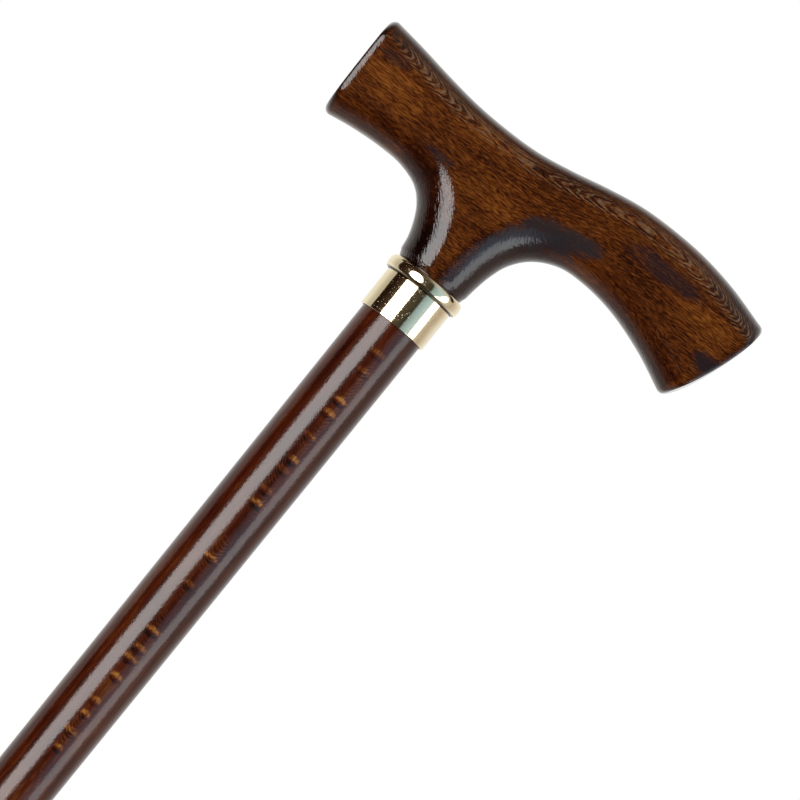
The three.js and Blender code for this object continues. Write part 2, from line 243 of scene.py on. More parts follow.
def curve_through(points):
    """Points at even distances on the centripetal curve through the given ones."""
    spine = np.array(points, float)
    spine = np.vstack([2 * spine[0] - spine[1], spine, 2 * spine[-1] - spine[-2]])
    t = np.linspace(0, 1, CURVE_STEPS, endpoint=False)[:, None]
    fine = []
    for before, start, end, after in zip(spine, spine[1:], spine[2:], spine[3:]):
        into, across, out = (
            np.linalg.norm(b - a) ** 0.5
            for a, b in ((before, start), (start, end), (end, after))
        )
        step = (end - start) / across
        leave = across * ((start - before) / into - (end - before) / (into + across) + step)
        arrive = across * (step - (after - start) / (across + out) + (after - end) / out)
        fine.append(
            (2 * t**3 - 3 * t**2 + 1) * start + (t**3 - 2 * t**2 + t) * leave
            + (3 * t**2 - 2 * t**3) * end + (t**3 - t**2) * arrive
        )
    fine = np.vstack([*fine, spine[-2]])
    travel = np.cumsum(np.linalg.norm(np.diff(fine, axis=0), axis=1))
    travel = np.concatenate([[0], travel])
    count = round(travel[-1] / STATION_STEP)
    wanted = np.linspace(0, travel[-1], count + 1)
    return np.stack([np.interp(wanted, travel, fine[:, k]) for k in range(3)], axis=1)


def unit(vectors):
    """The same directions with length 1."""
    return vectors / np.linalg.norm(vectors, axis=-1, keepdims=True)


def end_section(end):
    """An end face's corners, moved inward to where its rounded edge starts."""
    top, bottom = np.array(end["top"], float), np.array(end["bottom"], float)
    along = unit(top - bottom)
    outward = np.array([along[1], -along[0]]) * end["side"]
    shift = -END_ROUND * outward
    return {"top": top + shift, "bottom": bottom + shift, "along": along,
            "outward": outward, "bulge": end["bulge"]}


def edge_stations(points, wood_side, start_into, end_into):
    """Place, direction into the wood and round-over depth along a long edge."""
    spine = curve_through(points)
    tangent = unit(np.gradient(spine[:, :2], axis=0))
    into = np.stack([-tangent[:, 1], tangent[:, 0]], axis=1) * wood_side
    travel = np.arange(len(spine)) * STATION_STEP
    for distance, wanted in ((travel, start_into), (travel[::-1], end_into)):
        share = np.clip(1 - distance / TURN_IN, 0, 1)[:, None]
        into = unit(into + (wanted - into) * share * share * (3 - 2 * share))
    return spine[:, :2], into, spine[:, 2]


def round_over(stations):
    """Rows of points and outward directions, front to back across the thickness."""
    place, into, depth = stations
    angle = np.linspace(-math.pi / 2, math.pi / 2, ROUND_OVER_STEPS + 1)
    inset = depth[:, None] * (1 - np.cos(angle))
    points = np.stack([
        place[:, :1] + into[:, :1] * inset,
        np.broadcast_to(HALF_THICKNESS * np.sin(angle), inset.shape),
        place[:, 1:] + into[:, 1:] * inset,
    ], axis=-1)
    outward = np.cos(angle) / depth[:, None]
    normals = unit(np.stack([
        -into[:, :1] * outward,
        np.broadcast_to(np.sin(angle) / HALF_THICKNESS, outward.shape),
        -into[:, 1:] * outward,
    ], axis=-1))
    return points, normals


def section_ring(first, second):
    """A closed ring round the wood: over one edge, down the back, and up the front."""
    share = np.linspace(0, 1, SIDE_STEPS + 1)[1:-1, None]

    def side(start, normal, end):
        return start + (end - start) * share, np.broadcast_to(normal, (len(share), 3))

    (first_points, first_normals), (second_points, second_normals) = first, second
    back = side(first_points[-1], first_normals[-1], second_points[-1])
    front = side(second_points[0], second_normals[0], first_points[0])
    parts = [first, back, (second_points[::-1], second_normals[::-1]), front]
    return np.vstack([p for p, _ in parts]), np.vstack([n for _, n in parts])


def closed(ring):
    """A ring with its first point again at its end."""
    return np.vstack([ring, ring[:1]])


def cap_end(mesh, ring, end):
    """The rounded rim and the slightly crowned face of one end of the handle."""
    points, normals = ring
    middle = (end["top"] + end["bottom"]) / 2
    half = np.linalg.norm(end["top"] - end["bottom"]) / 2
    height = (points[:, [0, 2]] - middle) @ end["along"] / half
    rise = END_ROUND + end["bulge"] * (1 - height**2)
    outward = np.array([end["outward"][0], 0, end["outward"][1]])
    inset = END_INSET_EDGE + (END_INSET_SIDE - END_INSET_EDGE) * normals[:, 1:2] ** 2
    rows = [
        points + normals * inset * (math.cos(turn) - 1)
        + rise[:, None] * outward * math.sin(turn)
        for turn in np.linspace(0, math.pi / 2, END_STEPS + 1)
    ]
    grid_faces(mesh, [closed(row) for row in rows])
    face, count, crown = rows[-1], len(points), ROUND_OVER_STEPS // 2
    share = np.linspace(0, 1, FACE_STEPS + 1)[:, None]
    bands = []
    for i in range(count // 2 + 1):
        front, back = face[(crown - i) % count], face[(crown + i) % count]
        bands.append(front + (back - front) * share)
    grid_faces(mesh, bands)


def flat_sides(mesh, outline):
    """The flat front and back, filled with even triangles inside their outline."""
    corners = [Vector((x, z)) for x, _, z in outline]
    edge_points = np.array(corners)
    count = len(corners)
    edges = [(i, (i + 1) % count) for i in range(count)]
    (low_x, low_z), (high_x, high_z) = edge_points.min(0), edge_points.max(0)
    inner = [
        Vector((x + (row % 2) * FLAT_STEP / 2, z))
        for row, z in enumerate(np.arange(low_z, high_z, FLAT_STEP))
        for x in np.arange(low_x, high_x, FLAT_STEP)
    ]
    inner = [p for p in inner if np.linalg.norm(edge_points - p, axis=1).min() > FLAT_STEP / 2]
    places, _, faces, *_ = delaunay_2d_cdt(
        corners + inner, edges, [range(count)], FILL_INSIDE, FILL_TOLERANCE
    )
    for y in (-HALF_THICKNESS, HALF_THICKNESS):
        vertices = [mesh.verts.new(Vector((p.x, y, p.y)) * MM) for p in places]
        for face in faces:
            mesh.faces.new([vertices[i] for i in face])


def neck_and_spigot(mesh, neck_points):
    """The neck's foot, drawn in to its round seat, with the spigot and its screw hole."""
    foot = neck_points[:, :2]
    direction = unit(foot)
    rows = []
    for turn in np.linspace(0, math.pi / 2, END_STEPS + 1):
        share = (1 - math.cos(turn)) ** NECK_ROUND_BLUNTNESS
        plan = foot + (direction * NECK_SEAT_RADIUS - foot) * share
        rows.append((plan, NECK_TOP - NECK_ROUND_HEIGHT * math.sin(turn)))
    hole_end = JOINT_PLANE + SCREW_HOLE_DEPTH
    for radius, height in (
        (SPIGOT_RADIUS, NECK_BASE),
        (SPIGOT_RADIUS, SPIGOT_BASE + SPIGOT_CHAMFER),
        (SPIGOT_RADIUS - SPIGOT_CHAMFER, SPIGOT_BASE),
        (SCREW_HOLE_RADIUS, SPIGOT_BASE),
        (SCREW_HOLE_RADIUS, hole_end),
        (0, hole_end + SCREW_HOLE_CONE),
    ):
        rows.append((direction * radius, height))
    grid_faces(mesh, [
        closed(np.column_stack([plan, np.full(len(plan), height)])) for plan, height in rows
    ])


def handle_mesh():
    """The handle: two arms and a neck, its long edges rounded over, and the spigot."""
    mesh = bmesh.new()
    nose, tail = end_section(NOSE_END), end_section(TAIL_END)
    left, right = np.array([-1.0, 0.0]), np.array([1.0, 0.0])
    top = edge_stations(
        [(*nose["top"], TOP_DEPTHS[0]), *TOP_POINTS, (*tail["top"], TOP_DEPTHS[1])],
        -1, -nose["along"], -tail["along"],
    )
    nose_under = edge_stations(
        [(*nose["bottom"], UNDER_DEPTH), *NOSE_ARM,
         *[(NECK_LEFT + x, z, depth) for x, z, depth in NOSE_THROAT],
         (NECK_LEFT, NECK_TOP, NECK_SIDE_DEPTHS[0])],
        1, nose["along"], right,
    )
    tail_under = edge_stations(
        [(NECK_RIGHT, NECK_TOP, NECK_SIDE_DEPTHS[1]),
         *[(NECK_RIGHT + x, z, depth) for x, z, depth in TAIL_THROAT],
         *TAIL_ARM, (*tail["bottom"], UNDER_DEPTH)],
        1, left, tail["along"],
    )
    rounds = [round_over(stations) for stations in (top, nose_under, tail_under)]
    for points, _ in rounds:
        grid_faces(mesh, points)
    (top_p, top_n), (nose_p, nose_n), (tail_p, tail_n) = rounds
    nose_ring = section_ring((top_p[0], top_n[0]), (nose_p[0], nose_n[0]))
    tail_ring = section_ring((top_p[-1], top_n[-1]), (tail_p[-1], tail_n[-1]))
    neck_ring = section_ring((nose_p[-1], nose_n[-1]), (tail_p[0], tail_n[0]))
    cap_end(mesh, nose_ring, nose)
    cap_end(mesh, tail_ring, tail)

    def front_side(ring):
        return ring[0][-(SIDE_STEPS - 1):]

    flat_sides(mesh, np.vstack([
        top_p[:, 0], front_side(tail_ring)[::-1], tail_p[::-1, 0],
        front_side(neck_ring), nose_p[::-1, 0], front_side(nose_ring),
    ]))
    neck_and_spigot(mesh, neck_ring[0])
    bmesh.ops.translate(mesh, verts=mesh.verts, vec=(0, 0, HEAD_BASE * MM))
    return mesh


# Turned pieces

def collar_mesh():
    """The sleeve, with its upper edge rolled outward into a hollow curl."""
    edge = COLLAR_EDGE_ROUND
    lip_radius = COLLAR_RADIUS + CURL_LIP_GAP
    curl_centre = (lip_radius, SLEEVE_LENGTH + CURL_WIDEST)
    upper, lower = CURL_HEIGHT - CURL_WIDEST, CURL_WIDEST
    hollow = CURL_OVERHANG - COLLAR_WALL
    shoulder_centre = (lip_radius, COLLAR_TOP - CURL_SHOULDER)
    top_run = lip_radius - COLLAR_BORE
    profile = [
        *arc(COLLAR_BORE + edge, edge, edge, edge, 180, 270, COLLAR_EDGE_STEPS),
        *arc(COLLAR_RADIUS - edge, edge, edge, edge, -90, 0, COLLAR_EDGE_STEPS),
        (COLLAR_RADIUS, COLLAR_TOP - CURL_ROOT_WALL),
        *arc(*curl_centre, hollow, upper - COLLAR_WALL, 90, 0, CURL_HOLLOW_STEPS),
        *arc(*curl_centre, hollow, lower - COLLAR_WALL, 0, -90, CURL_HOLLOW_STEPS)[1:],
        *arc(*curl_centre, CURL_OVERHANG, lower, -90, 0, CURL_STEPS, CURL_FULLNESS),
        *arc(*curl_centre, CURL_OVERHANG, upper, 0, 90, CURL_STEPS, CURL_FULLNESS)[1:],
        *arc(*shoulder_centre, top_run, CURL_SHOULDER, 90, 180, CURL_SHOULDER_STEPS)[1:],
        (COLLAR_BORE, edge),
    ]
    return lathe(profile, HEAD_BASE)


def shaft_mesh():
    """The tapered shaft, parallel at its tip, with a screw hole in its top."""
    hole_end = HEAD_BASE + JOINT_PLANE - SCREW_HOLE_DEPTH
    tip_start = (TIP_RADIUS, SHAFT_BASE + SHAFT_CHAMFER)
    tip_end = (TIP_RADIUS, SHAFT_BASE + TIP_PARALLEL)
    taper_end = (SHAFT_RADIUS, HEAD_BASE)
    profile = [
        (0, SHAFT_BASE),
        (TIP_RADIUS - SHAFT_CHAMFER, SHAFT_BASE),
        *spread(tip_start, tip_end, SHAFT_ROW_STEP),
        *spread(tip_end, taper_end, SHAFT_ROW_STEP),
        taper_end,
        (SHAFT_RADIUS, SHAFT_TOP - SHAFT_CHAMFER),
        (SHAFT_RADIUS - SHAFT_CHAMFER, SHAFT_TOP),
        (SCREW_HOLE_RADIUS, SHAFT_TOP),
        (SCREW_HOLE_RADIUS, hole_end),
        (0, hole_end - SCREW_HOLE_CONE),
    ]
    return lathe(profile)


def ferrule_mesh():
    """The ferrule: grooved tread, flared base, ribs round the waist, and a lip."""
    bore = TIP_RADIUS + SEAT_GAP
    flare_top = BASE_HEIGHT + FLARE_HEIGHT
    flare = (WAIST_RADIUS - FERRULE_RADIUS, -FLARE_HEIGHT)
    lip_base = FERRULE_HEIGHT - LIP_HEIGHT
    lip_centre = (LIP_RADIUS - LIP_ROUND, FERRULE_HEIGHT - LIP_ROUND)
    rib_base = (flare_top + lip_base) / 2 - (RIB_COUNT - 1) / 2 * RIB_PITCH
    base_centre = (FERRULE_RADIUS - FERRULE_ROUND, FERRULE_ROUND)
    profile = [(0, 0)]
    for i in range(GROOVE_COUNT):
        inner = PAD_RADIUS + i * GROOVE_PITCH
        outer = inner + GROOVE_WIDTH
        profile += [(inner, 0), (inner, GROOVE_DEPTH), (outer, GROOVE_DEPTH), (outer, 0)]
    profile += arc(*base_centre, FERRULE_ROUND, FERRULE_ROUND, -90, 0, FERRULE_EDGE_STEPS)
    profile.append((FERRULE_RADIUS, BASE_HEIGHT))
    profile += arc(FERRULE_RADIUS, flare_top, *flare, *FLARE_ANGLES, FLARE_STEPS)
    profile.append((WAIST_RADIUS, flare_top))
    for i in range(RIB_COUNT):
        rib_height = rib_base + i * RIB_PITCH
        profile += arc(WAIST_RADIUS, rib_height, RIB_HEIGHT, RIB_HEIGHT, -90, 90, RIB_STEPS)
    profile += [
        (WAIST_RADIUS, lip_base),
        (LIP_RADIUS, lip_base + LIP_BEVEL),
        *arc(*lip_centre, LIP_ROUND, LIP_ROUND, 0, 90, LIP_STEPS),
        (bore, FERRULE_HEIGHT),
        (bore, TREAD_THICKNESS),
        (0, TREAD_THICKNESS),
    ]
    return lathe(profile)


# Node helpers

UPRIGHT_AXES = ((1, 0, 0), (0, 1, 0), (0, 0, 1))

# Colour sockets of a Mix node: share, both colours, and the result
MIX_INPUTS = (0, 6, 7)
MIX_OUTPUT = 2


def link(tree, value, socket):
    """Connects a node's output, or sets a plain value."""
    if isinstance(value, bpy.types.NodeSocket):
        tree.links.new(value, socket)
    else:
        socket.default_value = value


def link_all(tree, node, values):
    """Connects or sets several of a node's inputs by name."""
    for name, value in values.items():
        link(tree, value, node.inputs[name])


def calc(tree, operation, first, second=0.0, third=0.0):
    """One step of arithmetic."""
    node = tree.nodes.new("ShaderNodeMath")
    node.operation = operation
    for value, socket in zip((first, second, third), node.inputs):
        link(tree, value, socket)
    return node.outputs[0]


def vector_calc(tree, operation, first, second=(0, 0, 0)):
    """One step of arithmetic on vectors. Gives its Vector and its Value."""
    node = tree.nodes.new("ShaderNodeVectorMath")
    node.operation = operation
    for value, socket in zip((first, second), node.inputs):
        link(tree, value, socket)
    return node.outputs


def split(tree, vector):
    """The three parts of a vector."""
    node = tree.nodes.new("ShaderNodeSeparateXYZ")
    link(tree, vector, node.inputs[0])
    return node.outputs


def fit(tree, value, low, high, to_low=0.0, to_high=1.0, smooth=True):
    """Maps a value's range to another, clamped."""
    node = tree.nodes.new("ShaderNodeMapRange")
    node.interpolation_type = "SMOOTHSTEP" if smooth else "LINEAR"
    for value_in, socket in zip((value, low, high, to_low, to_high), node.inputs):
        link(tree, value_in, socket)
    return node.outputs[0]


def coordinates(tree, kind):
    """Texture coordinates of one kind."""
    return tree.nodes.new("ShaderNodeTexCoord").outputs[kind]


def turned_space(tree, cell, axes=UPRIGHT_AXES, origin=(0, 0, 0), place=None):
    """Object coordinates along three axes, counted in cells of the given millimetres."""
    if place is None:
        place = coordinates(tree, "Object")
    node = tree.nodes.new("ShaderNodeMapping")
    node.vector_type = "TEXTURE"
    link_all(tree, node, {
        "Vector": place,
        "Location": [x * MM for x in origin],
        "Rotation": Matrix(axes).transposed().to_euler(),
        "Scale": [x * MM for x in cell],
    })
    return node.outputs[0]


def noise(tree, cell, detail, rough, **space):
    """Noise from 0 to 1 in object space, with cells of the given millimetres."""
    node = tree.nodes.new("ShaderNodeTexNoise")
    link_all(tree, node, {
        "Vector": turned_space(tree, cell, **space),
        "Scale": 1,
        "Detail": detail,
        "Roughness": rough,
    })
    return node.outputs["Fac"]


def blend_colour(tree, share, first, second):
    """Turns the first colour into the second, a socket or a plain colour, by a share."""
    if isinstance(second, tuple):
        second = (*second, 1)
    node = tree.nodes.new("ShaderNodeMix")
    node.data_type = "RGBA"
    for value, index in zip((share, first, second), MIX_INPUTS):
        link(tree, value, node.inputs[index])
    return node.outputs[MIX_OUTPUT]


def ramp(tree, value, stops):
    """Colours along a value, from (position, colour) stops."""
    node = tree.nodes.new("ShaderNodeValToRGB")
    elements = node.color_ramp.elements
    while len(elements) < len(stops):
        elements.new(0.5)
    for element, (position, colour) in zip(elements, stops):
        element.position = position
        element.color = (*colour, 1)
    link(tree, value, node.inputs[0])
    return node.outputs[0]


def bump(tree, height, distance, normal=None):
    """A normal tilted by a height, where a height of 1 stands for the given millimetres."""
    node = tree.nodes.new("ShaderNodeBump")
    link_all(tree, node, {"Distance": distance * MM, "Strength": 1, "Height": height})
    if normal is not None:
        link(tree, normal, node.inputs["Normal"])
    return node.outputs[0]


def new_material(name):
    """A material, its nodes, and the node that shades it."""
    material = bpy.data.materials.new(name)
    material.use_nodes = True
    return material, material.node_tree, material.node_tree.nodes["Principled BSDF"]


def axes_of(grain, layer):
    """Grain, tangential and layer directions, square to each other."""
    layer = Vector(layer).normalized()
    grain = Vector(grain)
    grain = (grain - layer * grain.dot(layer)).normalized()
    return grain, layer.cross(grain), layer


# Wood

HEAD = at_head(0, 0, 0)

# Sanding marks run down and to the right across the cut ends of the grain
SANDING_AXES = axes_of((0.64, 0, -0.77), (0.77, 0, 0.64))

# Figure that both woods and their lacquer share. Each entry has its cell along the
# grain, across it and through the layers, then its detail and its roughness.
CLOUDS = ((26, 12, 9), 2, 0.5)
LAYER_WARP = ((9, 5, 3), 4, 0.7)
LAYER_GROUPS = ((12, 6, 0.9), 2, 0.6)
LAYER_WEAR = ((2.4, 1.6, 0.5), 2, 0.6)
RIPPLES = ((30, 6, 6), 2, 0.5)
PORES = ((2.4, 1.6, 0.42), 1, 0.5)
FILM = ((1.1, 1.1, 1.1), 2, 0.6)

# Ranges of how nearly a surface faces along the grain, on its way to an end face
CUT_FACING = (0.04, 0.24)
END_FACING = (0.28, 0.55)

# Share of the growth layers that shows before their start
LAYERS_LEFT = 0.1

# Ranges of a figure: how much of a layer's pale line is left, which part of a layer
# is pale, and how rough the wood is
WEAR_RANGE = (-0.14, 0.12, 0.25, 1)
PALE_RANGE = (-0.3, 0.95)
ROUGHNESS_RANGE = (-0.2, 0.2, 0.5, 0.35)

# Patches: how ragged their edges are, and where they fade, in half sizes
PATCH_RAGGEDNESS = 1.6
PATCH_FADE = (1.2, 0.5)

LACQUER_IOR = 1.5


def facing(tree, direction, low, high):
    """How nearly the surface faces along a direction, from 0 to 1."""
    along = vector_calc(tree, "DOT_PRODUCT", coordinates(tree, "Normal"), direction)["Value"]
    return fit(tree, calc(tree, "ABSOLUTE", along), low, high, smooth=False)


def lifted_place(tree, start, end, lift):
    """Object coordinates that sink along x, so that the grain rises there."""
    place = coordinates(tree, "Object")
    shift = tree.nodes.new("ShaderNodeCombineXYZ")
    sunk = fit(tree, split(tree, place)[0], start * MM, end * MM, 0, -lift * MM)
    link(tree, sunk, shift.inputs["Z"])
    return vector_calc(tree, "ADD", place, shift.outputs[0])["Vector"]


def patch_share(tree, edge, centre, size):
    """1 inside a soft, uneven blot and 0 outside it. Its centre is a place at the head."""
    space = turned_space(tree, size, origin=at_head(*centre))
    distance = vector_calc(tree, "LENGTH", space)["Value"]
    even = calc(tree, "SUBTRACT", distance, PATCH_RAGGEDNESS / 2)
    return fit(tree, calc(tree, "MULTIPLY_ADD", edge, PATCH_RAGGEDNESS, even), *PATCH_FADE)


def growth_layers(tree, wood, figure):
    """The waves of the thin growth layers, from -1 to 1, and how much they show."""
    space = turned_space(tree, (1, 1, wood["layer_pitch"]), wood["layer_axes"], HEAD)
    warp = figure(*LAYER_WARP)
    phase = calc(tree, "MULTIPLY_ADD", warp, wood["layer_warp"], split(tree, space)[2])
    wave = calc(tree, "SINE", calc(tree, "MULTIPLY", phase, 2 * math.pi))
    grouped = fit(tree, figure(*LAYER_GROUPS), *wood["layer_group"])
    across = split(tree, turned_space(tree, (1, 1, 1)))[0]
    started = fit(tree, across, *wood["layer_start"], LAYERS_LEFT, 1)
    share = facing(tree, wood["layer_axes"][2], *wood["layer_facing"])
    for part in (grouped, started):
        share = calc(tree, "MULTIPLY", share, part)
    return wave, share


def wood_material(name, wood):
    """Stained, lacquered beech: thin growth layers, long streaks, patches of tone and stain blots,
    the grey blots partly a painted reflection.
    """
    material, tree, shader = new_material(name)
    axes = wood["axes"]
    grain_place = lifted_place(tree, *wood["grain_lift"])

    def figure(cell, detail, rough):
        """Noise about zero, stretched along the grain and the layers."""
        found = noise(tree, cell, detail, rough, axes=axes, origin=HEAD, place=grain_place)
        return calc(tree, "SUBTRACT", found, 0.5)

    streak = figure(*wood["streaks"])
    wave, wave_share = growth_layers(tree, wood, figure)
    edge = noise(tree, *wood["patch_edge"], axes=axes)
    cut = facing(tree, axes[0], *CUT_FACING)
    tone = wood["tone"]
    for share, change in (
        (streak, wood["streak_contrast"]),
        (figure(*wood["bands"]), wood["band_contrast"]),
        (figure(*CLOUDS), wood["cloud_contrast"]),
        (wave, calc(tree, "MULTIPLY", wave_share, wood["ring_contrast"])),
        *[
            (patch_share(tree, edge, centre, size), change)
            for centre, size, change in wood["patches"]
        ],
        (cut, wood["cut_tone"]),
        (facing(tree, axes[0], *END_FACING), wood["end_tone"]),
    ):
        tone = calc(tree, "MULTIPLY_ADD", share, change, tone)
    colour = ramp(tree, tone, wood["colours"])
    # Blots of thick stain; the grey ones along the palm throat are partly a painted bluish-grey
    # reflection
    for centre, size, strength, stain in wood["blots"]:
        blot = calc(tree, "MULTIPLY", patch_share(tree, edge, centre, size), strength)
        colour = blend_colour(tree, blot, colour, stain)
    pale = fit(tree, wave, *PALE_RANGE, 0, wood["pale_ring"])
    for part in (fit(tree, figure(*LAYER_WEAR), *WEAR_RANGE), wave_share):
        pale = calc(tree, "MULTIPLY", pale, part)
    colour = blend_colour(tree, pale, colour, wood["pale_colour"])

    # The lacquer's skin: its grain, the pores of the cut grain, and thick runs
    film = noise(tree, *FILM, axes=axes)
    pores = noise(tree, *PORES, axes=SANDING_AXES)
    pore_depth = calc(tree, "MULTIPLY", cut, wood["cut_pores"])
    relief = calc(tree, "MULTIPLY", film, wood["film"])
    relief = calc(tree, "MULTIPLY_ADD", pores, pore_depth, relief)
    for centre, size, rise in wood["runs"]:
        run = calc(tree, "MULTIPLY", patch_share(tree, edge, centre, size), rise)
        relief = calc(tree, "MULTIPLY_ADD", film, run, relief)
    soft = bump(tree, noise(tree, *RIPPLES, axes=axes), wood["ripple"])
    link_all(tree, shader, {
        "Base Color": colour,
        "Roughness": fit(tree, streak, *ROUGHNESS_RANGE),
        "Normal": soft,
        "IOR": LACQUER_IOR,
        "Specular IOR Level": 0.0,
        "Coat Weight": 1.0,
        "Coat Roughness": wood["gloss"],
        "Coat IOR": LACQUER_IOR,
        "Coat Normal": bump(tree, relief, 1, soft),
    })
    return material


# Metals and rubber

# Figure of each finish: its cell, detail and roughness
TARNISH = ((6, 6, 6), 3, 0.5)
WAVES = ((4, 4, 9), 1, 0.5)
SCRATCHES = ((5, 5, 0.12), 3, 0.6)
PITS = ((0.45, 0.45, 0.45), 2, 0.6)
PITS_ORIGIN = (4, 0, 0)
RUBBER_GRAIN = ((0.5, 0.5, 0.5), 4, 0.6)
DUST = ((9, 9, 9), 4, 0.6)
STEEL_CLOUDS = ((3, 3, 3), 4, 0.6)

# Only the peaks of their figure become pits
PIT_RANGE = (0.66, 0.76)

# Depth of the figure where it is felt
WAVE_DEPTH = 0.03
SCRATCH_DEPTH = 0.0012
PIT_DEPTH = 0.03
RUBBER_GRAIN_DEPTH = 0.04
STEEL_CLOUD_DEPTH = 0.01

# Colours along the figure
BRASS_COLOURS = [(0.3, (0.80, 0.68, 0.45)), (0.7, (0.88, 0.78, 0.56))]
RUBBER_COLOURS = [(0.35, (0.012, 0.012, 0.013)), (0.75, (0.035, 0.034, 0.033))]
STEEL_COLOURS = [(0.3, (0.42, 0.42, 0.43)), (0.7, (0.62, 0.62, 0.61))]

# Ranges of the figure, and the roughness that each becomes
BRASS_ROUGHNESS = (0.3, 0.8, 0.05, 0.13)
RUBBER_ROUGHNESS = (0.3, 0.7, 0.5, 0.72)
STEEL_ROUGHNESS = (0.3, 0.7, 0.25, 0.45)

# Painted shade in the groove under the bead: its colour, how far it reaches up and
# down, where it fades within that, and its strength along the tarnish
GROOVE_SHADE = (0.05, 0.024, 0.014)
GROOVE_SHADE_REACH = 0.42
GROOVE_SHADE_FADE = (1, 0.5)
GROOVE_SHADE_STRENGTH = (0.35, 0.6, 0.7, 0.97)


def brass_material():
    """Pale polished brass, with fine scratches, a few pits and painted shade in the groove under
    the bead.
    """
    material, tree, shader = new_material("polished_brass")
    tarnish = noise(tree, *TARNISH)
    # Painted shade: a dark band on the sleeve in the groove under the bead, uneven along the
    # tarnish
    groove = turned_space(tree, (1, 1, GROOVE_SHADE_REACH), origin=at_head(0, 0, SLEEVE_LENGTH))
    groove_shade = fit(tree, calc(tree, "ABSOLUTE", split(tree, groove)[2]), *GROOVE_SHADE_FADE)
    groove_shade = calc(tree, "MULTIPLY", groove_shade, fit(tree, tarnish, *GROOVE_SHADE_STRENGTH))
    scratches = noise(tree, *SCRATCHES)
    pits = fit(tree, noise(tree, *PITS, origin=PITS_ORIGIN), *PIT_RANGE)
    normal = bump(tree, noise(tree, *WAVES), WAVE_DEPTH)
    normal = bump(tree, scratches, SCRATCH_DEPTH, normal)
    normal = bump(tree, pits, PIT_DEPTH, normal)
    link_all(tree, shader, {
        "Base Color": blend_colour(tree, groove_shade, ramp(tree, tarnish, BRASS_COLOURS), GROOVE_SHADE),
        "Roughness": fit(tree, scratches, *BRASS_ROUGHNESS),
        "Normal": normal,
        "Metallic": 1.0,
    })
    return material


def rubber_material():
    """Black rubber, grey with dust in places."""
    material, tree, shader = new_material("moulded_rubber")
    dust = noise(tree, *DUST)
    link_all(tree, shader, {
        "Base Color": ramp(tree, dust, RUBBER_COLOURS),
        "Roughness": fit(tree, dust, *RUBBER_ROUGHNESS),
        "Normal": bump(tree, noise(tree, *RUBBER_GRAIN), RUBBER_GRAIN_DEPTH),
    })
    return material


def steel_material():
    """Plated steel, slightly clouded."""
    material, tree, shader = new_material("plated_steel")
    clouds = noise(tree, *STEEL_CLOUDS)
    link_all(tree, shader, {
        "Base Color": ramp(tree, clouds, STEEL_COLOURS),
        "Roughness": fit(tree, clouds, *STEEL_ROUGHNESS),
        "Normal": bump(tree, clouds, STEEL_CLOUD_DEPTH),
        "Metallic": 1.0,
    })
    return material


# Growth layers of the two woods. The handle's layers lean up from its side, and
# the shaft's face the camera a little to the right.
HANDLE_GRAIN = (1, 0, 0.03)
HANDLE_LAYER_LEAN = math.radians(26)
HANDLE_LAYER_SLOPE = -0.03
HANDLE_FACING = (-math.cos(HANDLE_LAYER_LEAN), math.sin(HANDLE_LAYER_LEAN))
SHAFT_GRAIN = (0, 0, 1)
SHAFT_LAYER_TURN = math.radians(11)
SHAFT_LAYER_SLOPE = 0.14
SHAFT_FACING = (math.sin(SHAFT_LAYER_TURN), -math.cos(SHAFT_LAYER_TURN))

# Colours of the stain where it is thick; the grey one is partly a painted reflection, a dull
# bluish-grey sheen
BLACK_STAIN = (0.0022, 0.0005, 0.0005)
DARK_STAIN = (0.012, 0.0072, 0.0092)
GREY_STAIN_AND_SHEEN = (0.0150, 0.0120, 0.0138)

# Grey stain along the palm throat, its bluish-grey partly a painted reflection: x, z and half sizes
THROAT_STAIN_AND_SHEEN = [
    (33, 56.6, 5, 3), (27, 55.4, 6.5, 3.8), (20.5, 52.8, 6, 4.4), (15, 48.6, 4.2, 5.5),
    (11, 43, 3.1, 6), (8.3, 36, 2.4, 7), (7.1, 28, 1.9, 7), (25, 51.3, 7, 3.2),
    (18.5, 47.3, 4.2, 4.5),
]

